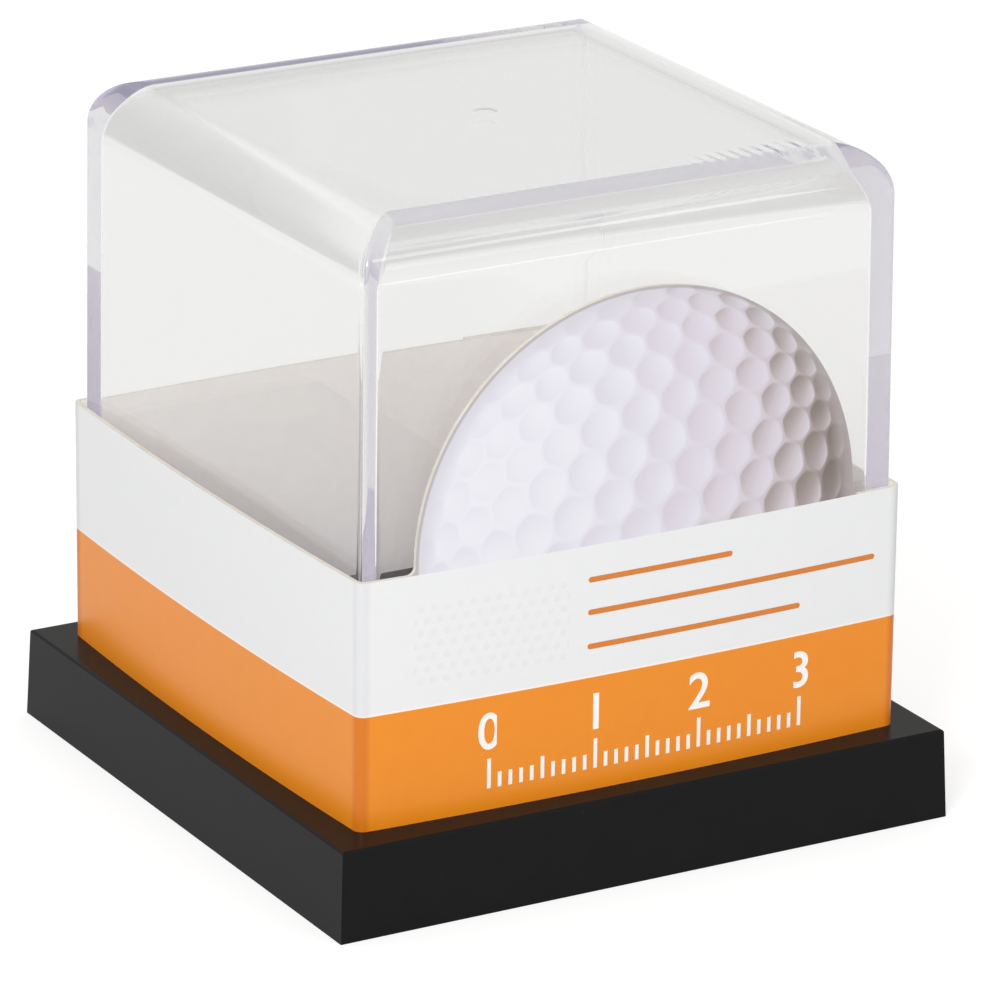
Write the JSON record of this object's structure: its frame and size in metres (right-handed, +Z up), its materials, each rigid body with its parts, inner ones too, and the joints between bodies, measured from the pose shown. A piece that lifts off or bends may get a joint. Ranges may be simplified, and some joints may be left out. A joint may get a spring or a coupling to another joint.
{
  "type": "golf ball display case",
  "caption": "Black square base with a ring seat for a golf ball, a clear lift-off cube cover, and a slip-on paperboard sleeve with a round ball picture.",
  "frame": {"origin": "centre of the base's footprint, on the surface that it stands on", "axes": "+Z up, -Y towards the picture side of the sleeve, +X to the right of the picture"},
  "size_m": [0.0586, 0.0586, 0.0589],
  "materials": {
    "black_plastic": "glossy black polystyrene moulding",
    "ring_plastic": "satin black polystyrene moulding",
    "clear_plastic": "clear polished polystyrene, faintly lavender at the edges",
    "printed_board": "coated paperboard, white above and orange below, with a round golf ball picture",
    "glue": "dried paper glue"
  },
  "bodies": {
    "base": {"base": "black_plastic", "ball_ring": "ring_plastic"},
    "cover": {"cover": "clear_plastic"},
    "sleeve": {"sleeve": "printed_board", "sleeve_glue": "glue"}
  },
  "joints": [
    {"name": "cover_lift", "type": "slide", "parent": "base", "child": "cover", "axis": [0, 0, 1], "range_m": [0, 0.06]},
    {"name": "sleeve_slide", "type": "slide", "parent": "cover", "child": "sleeve", "axis": [0, 0, 1], "range_m": [0, 0.06]}
  ]
}
